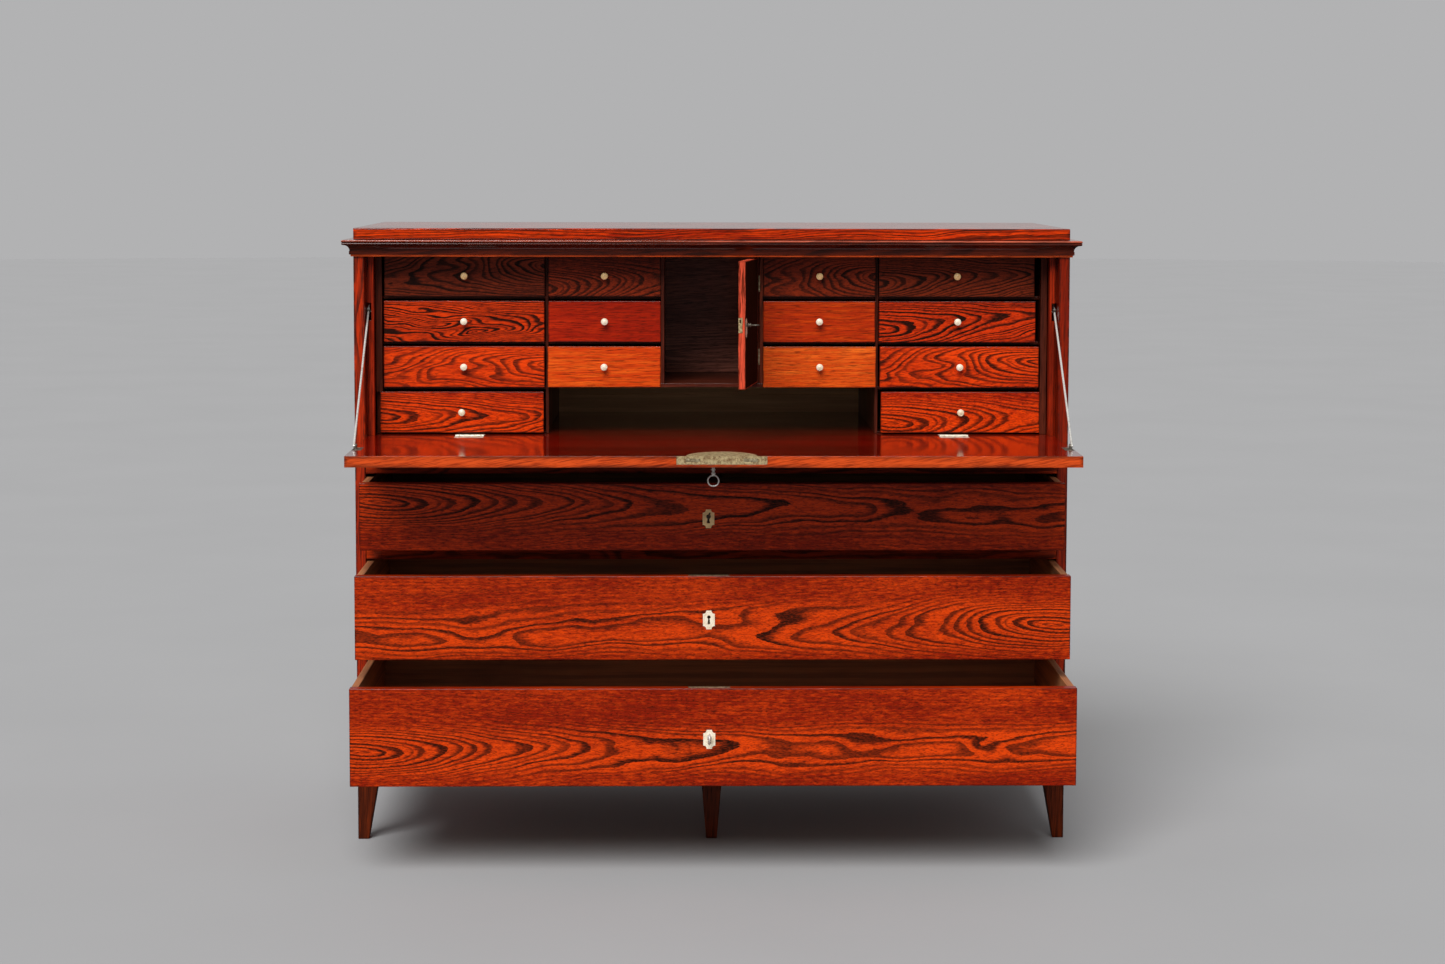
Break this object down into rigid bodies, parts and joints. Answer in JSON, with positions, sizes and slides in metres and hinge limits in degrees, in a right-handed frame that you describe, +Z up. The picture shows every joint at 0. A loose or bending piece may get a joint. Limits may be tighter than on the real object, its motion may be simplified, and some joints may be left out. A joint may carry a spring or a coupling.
{
  "type": "fall front secretaire",
  "caption": "Fall front secretaire in red-stained ash: open writing flap on metal stays, gallery of small drawers round a niche with a door, long drawers below",
  "frame": {"origin": "centre of the sole of the middle front foot", "axes": "+X to the right seen from the front, +Y into the cabinet, +Z up"},
  "size_m": [1.2878, 0.8143, 1.08],
  "materials": {
    "carcass_wood": "gloss",
    "front_wood": "gloss",
    "drawer_wood": "matte",
    "bone": "satin",
    "brass": "satin",
    "steel": "satin"
  },
  "bodies": {
    "cabinet": {"side_left": "carcass_wood", "side_right": "carcass_wood", "top_board": "carcass_wood", "cornice": "carcass_wood", "back_panel": "drawer_wood", "base_board": "carcass_wood", "foot_left": "carcass_wood", "foot_middle": "carcass_wood", "foot_right": "carcass_wood", "drawer_frame_lower": "carcass_wood", "drawer_frame_upper": "carcass_wood", "waist_frame": "carcass_wood", "writing_floor": "carcass_wood", "lining_frame": "carcass_wood", "gallery": "carcass_wood", "fall_hinge_fixed_left": "brass", "fall_hinge_fixed_right": "brass", "door_hinge_fixed_lower": "brass", "door_hinge_fixed_upper": "brass"},
    "long_drawer_lower": {"long_front_lower": "front_wood", "long_box_lower": "drawer_wood", "long_escutcheon_lower": "bone"},
    "long_key_body_lower": {"long_key_lower": "steel"},
    "long_drawer_middle": {"long_front_middle": "front_wood", "long_box_middle": "drawer_wood", "long_escutcheon_middle": "bone"},
    "long_drawer_upper": {"long_front_upper": "front_wood", "long_box_upper": "drawer_wood", "long_escutcheon_upper": "bone"},
    "long_key_body_upper": {"long_key_upper": "steel"},
    "small_drawer_outer_left_1_body": {"small_drawer_outer_left_1": "front_wood"},
    "small_drawer_outer_left_2_body": {"small_drawer_outer_left_2": "front_wood"},
    "small_drawer_outer_left_3_body": {"small_drawer_outer_left_3": "front_wood"},
    "small_drawer_outer_left_4_body": {"small_drawer_outer_left_4": "front_wood"},
    "small_drawer_outer_right_1_body": {"small_drawer_outer_right_1": "front_wood"},
    "small_drawer_outer_right_2_body": {"small_drawer_outer_right_2": "front_wood"},
    "small_drawer_outer_right_3_body": {"small_drawer_outer_right_3": "front_wood"},
    "small_drawer_outer_right_4_body": {"small_drawer_outer_right_4": "front_wood"},
    "small_drawer_inner_left_1_body": {"small_drawer_inner_left_1": "front_wood"},
    "small_drawer_inner_left_2_body": {"small_drawer_inner_left_2": "front_wood"},
    "small_drawer_inner_left_3_body": {"small_drawer_inner_left_3": "front_wood"},
    "small_drawer_inner_right_1_body": {"small_drawer_inner_right_1": "front_wood"},
    "small_drawer_inner_right_2_body": {"small_drawer_inner_right_2": "front_wood"},
    "small_drawer_inner_right_3_body": {"small_drawer_inner_right_3": "front_wood"},
    "fall": {"fall_panel": "carcass_wood", "fall_lock": "brass", "fall_escutcheon": "bone", "fall_hinge_moving_left": "brass", "fall_hinge_moving_right": "brass", "stay_ear_left": "steel", "stay_ear_right": "steel"},
    "fall_key_body": {"fall_key": "steel"},
    "stay_left": {"stay_rod_left": "steel"},
    "guide_left": {"stay_guide_left": "steel"},
    "stay_right": {"stay_rod_right": "steel"},
    "guide_right": {"stay_guide_right": "steel"},
    "door": {"door_panel": "front_wood", "door_lock": "brass", "door_escutcheon": "bone"},
    "door_key_body": {"door_key": "steel"}
  },
  "joints": [
    {"name": "slide_lower", "type": "slide", "parent": "cabinet", "child": "long_drawer_lower", "axis": [0, -1, 0], "range_m": [-0.278, 0.082]},
    {"name": "turn_lower", "type": "hinge", "parent": "long_drawer_lower", "child": "long_key_body_lower", "pos_m": [-0.0075, -0.2875, 0.24192], "axis": [0, 1, 0], "range_deg": [-90, 90]},
    {"name": "slide_middle", "type": "slide", "parent": "cabinet", "child": "long_drawer_middle", "axis": [0, -1, 0], "range_m": [-0.191, 0.169]},
    {"name": "slide_upper", "type": "slide", "parent": "cabinet", "child": "long_drawer_upper", "axis": [0, -1, 0], "range_m": [-0.111, 0.249]},
    {"name": "turn_upper", "type": "hinge", "parent": "long_drawer_upper", "child": "long_key_body_upper", "pos_m": [-0.0075, -0.1205, 0.58992], "axis": [0, 1, 0], "range_deg": [-90, 90]},
    {"name": "slide_small_drawer_outer_left_1", "type": "slide", "parent": "cabinet", "child": "small_drawer_outer_left_1_body", "axis": [0, -1, 0], "range_m": [0, 0.3]},
    {"name": "slide_small_drawer_outer_left_2", "type": "slide", "parent": "cabinet", "child": "small_drawer_outer_left_2_body", "axis": [0, -1, 0], "range_m": [0, 0.3]},
    {"name": "slide_small_drawer_outer_left_3", "type": "slide", "parent": "cabinet", "child": "small_drawer_outer_left_3_body", "axis": [0, -1, 0], "range_m": [0, 0.3]},
    {"name": "slide_small_drawer_outer_left_4", "type": "slide", "parent": "cabinet", "child": "small_drawer_outer_left_4_body", "axis": [0, -1, 0], "range_m": [0, 0.3]},
    {"name": "slide_small_drawer_outer_right_1", "type": "slide", "parent": "cabinet", "child": "small_drawer_outer_right_1_body", "axis": [0, -1, 0], "range_m": [0, 0.3]},
    {"name": "slide_small_drawer_outer_right_2", "type": "slide", "parent": "cabinet", "child": "small_drawer_outer_right_2_body", "axis": [0, -1, 0], "range_m": [0, 0.3]},
    {"name": "slide_small_drawer_outer_right_3", "type": "slide", "parent": "cabinet", "child": "small_drawer_outer_right_3_body", "axis": [0, -1, 0], "range_m": [0, 0.3]},
    {"name": "slide_small_drawer_outer_right_4", "type": "slide", "parent": "cabinet", "child": "small_drawer_outer_right_4_body", "axis": [0, -1, 0], "range_m": [0, 0.3]},
    {"name": "slide_small_drawer_inner_left_1", "type": "slide", "parent": "cabinet", "child": "small_drawer_inner_left_1_body", "axis": [0, -1, 0], "range_m": [0, 0.3]},
    {"name": "slide_small_drawer_inner_left_2", "type": "slide", "parent": "cabinet", "child": "small_drawer_inner_left_2_body", "axis": [0, -1, 0], "range_m": [0, 0.3]},
    {"name": "slide_small_drawer_inner_left_3", "type": "slide", "parent": "cabinet", "child": "small_drawer_inner_left_3_body", "axis": [0, -1, 0], "range_m": [0, 0.3]},
    {"name": "slide_small_drawer_inner_right_1", "type": "slide", "parent": "cabinet", "child": "small_drawer_inner_right_1_body", "axis": [0, -1, 0], "range_m": [0, 0.3]},
    {"name": "slide_small_drawer_inner_right_2", "type": "slide", "parent": "cabinet", "child": "small_drawer_inner_right_2_body", "axis": [0, -1, 0], "range_m": [0, 0.3]},
    {"name": "slide_small_drawer_inner_right_3", "type": "slide", "parent": "cabinet", "child": "small_drawer_inner_right_3_body", "axis": [0, -1, 0], "range_m": [0, 0.3]},
    {"name": "fall_hinge", "type": "hinge", "parent": "cabinet", "child": "fall", "pos_m": [0, 0.0092, 0.715], "axis": [1, 0, 0], "range_deg": [-90, 0]},
    {"name": "turn_fall_key", "type": "hinge", "parent": "fall", "child": "fall_key_body", "pos_m": [-0.0015, -0.2838, 0.6963], "axis": [0, 0, 1], "range_deg": [-90, 90]},
    {"name": "stay_pivot_left", "type": "hinge", "parent": "fall", "child": "stay_left", "pos_m": [-0.603, -0.20934, 0.72], "axis": [-1, 0, 0], "range_deg": [-46, 0]},
    {"name": "guide_swivel_left", "type": "hinge", "parent": "cabinet", "child": "guide_left", "pos_m": [-0.603, 0.0227, 0.93318], "axis": [-1, 0, 0], "range_deg": [0, 46]},
    {"name": "stay_pivot_right", "type": "hinge", "parent": "fall", "child": "stay_right", "pos_m": [0.603, -0.20934, 0.72], "axis": [-1, 0, 0], "range_deg": [-46, 0]},
    {"name": "guide_swivel_right", "type": "hinge", "parent": "cabinet", "child": "guide_right", "pos_m": [0.603, 0.0227, 0.93318], "axis": [-1, 0, 0], "range_deg": [0, 46]},
    {"name": "door_hinge", "type": "hinge", "parent": "cabinet", "child": "door", "pos_m": [0.0831, 0.0383, 0.918], "axis": [0, 0, 1], "range_deg": [-81, 6]},
    {"name": "turn_door_key", "type": "hinge", "parent": "door", "child": "door_key_body", "pos_m": [0.05704, -0.11218, 0.9176], "axis": [-0.9877, 0.1564, 0], "range_deg": [-90, 90]}
  ],
  "couplings": [
    {"joint": "stay_pivot_left", "follows": "fall_hinge", "ratio": 0.5},
    {"joint": "guide_swivel_left", "follows": "fall_hinge", "ratio": -0.5},
    {"joint": "stay_pivot_right", "follows": "fall_hinge", "ratio": 0.5},
    {"joint": "guide_swivel_right", "follows": "fall_hinge", "ratio": -0.5},
    {"joint": "door_hinge", "follows": "fall_hinge", "ratio": 0.9}
  ]
}
